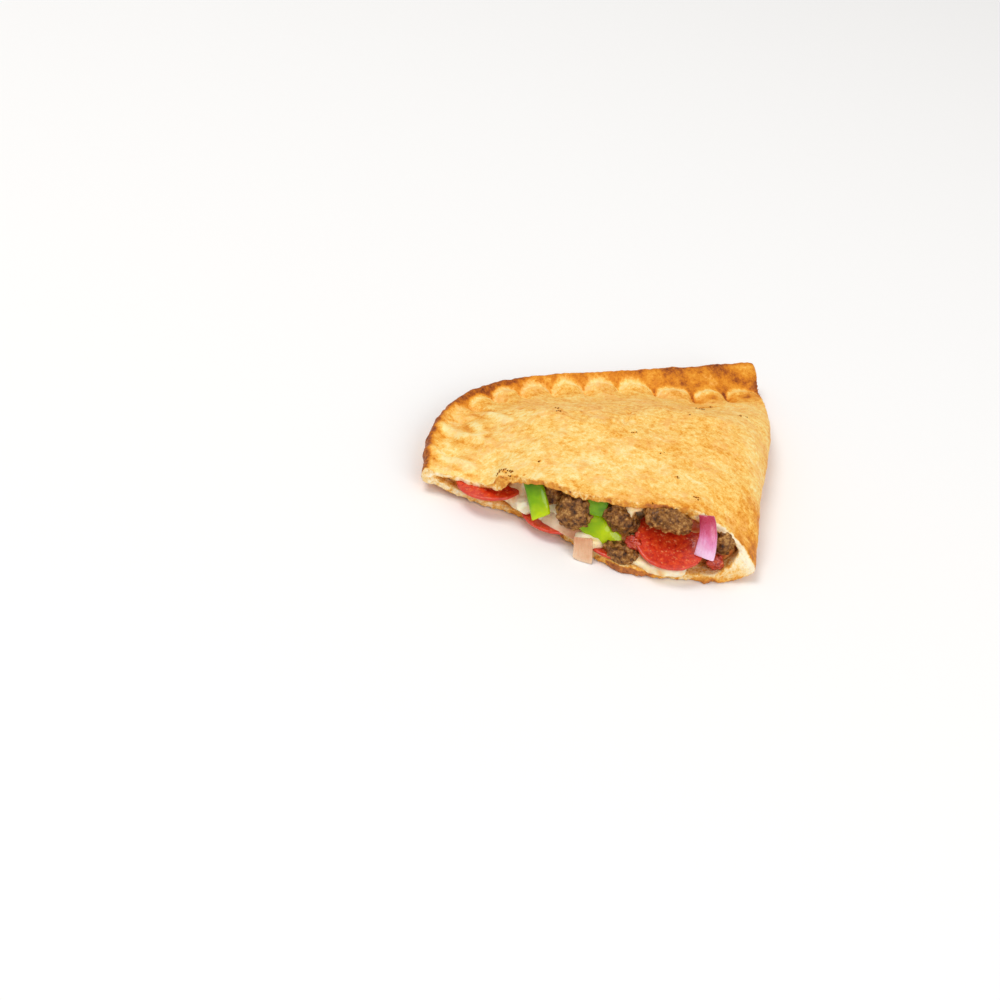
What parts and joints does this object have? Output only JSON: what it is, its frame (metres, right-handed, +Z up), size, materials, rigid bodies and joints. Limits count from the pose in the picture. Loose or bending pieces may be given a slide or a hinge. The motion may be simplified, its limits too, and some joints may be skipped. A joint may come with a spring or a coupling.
{
  "type": "half calzone",
  "caption": "Cut half of a folded, crimped flatbread pie, flat underneath, with melted cheese, meat, pepper and onion showing at the open cut side.",
  "frame": {"origin": "middle of the footprint, on the flat underside", "axes": "+Z up out of the domed top, -Y towards the cut side that shows the filling, +X towards the folded edge, +Y along the fold to its far tip"},
  "size_m": [0.2021, 0.2402, 0.0379],
  "materials": {
    "crust": "baked golden dough, dull with a faint oil sheen",
    "cheese": "melted cheese, moist",
    "pepperoni": "oily cured meat",
    "sausage": "browned crumbly meat",
    "pepper": "wet green pepper",
    "red_onion": "purple onion skin over pale flesh",
    "onion": "cooked translucent onion",
    "sauce": "cooked tomato"
  },
  "bodies": {
    "root": {"crust": "crust", "cheese": "cheese", "pepperoni_left": "pepperoni", "pepperoni_right": "pepperoni", "pepperoni_low": "pepperoni", "pepperoni_under": "pepperoni", "sausage_round": "sausage", "sausage_middle": "sausage", "sausage_upper": "sausage", "sausage_lower": "sausage", "sausage_shade": "sausage", "sausage_corner": "sausage", "pepper_left": "pepper", "pepper_front": "pepper", "pepper_back": "pepper", "onion_purple": "red_onion", "onion_strip": "onion", "onion_tail": "onion", "sauce_middle": "sauce", "sauce_corner": "sauce"}
  },
  "joints": []
}
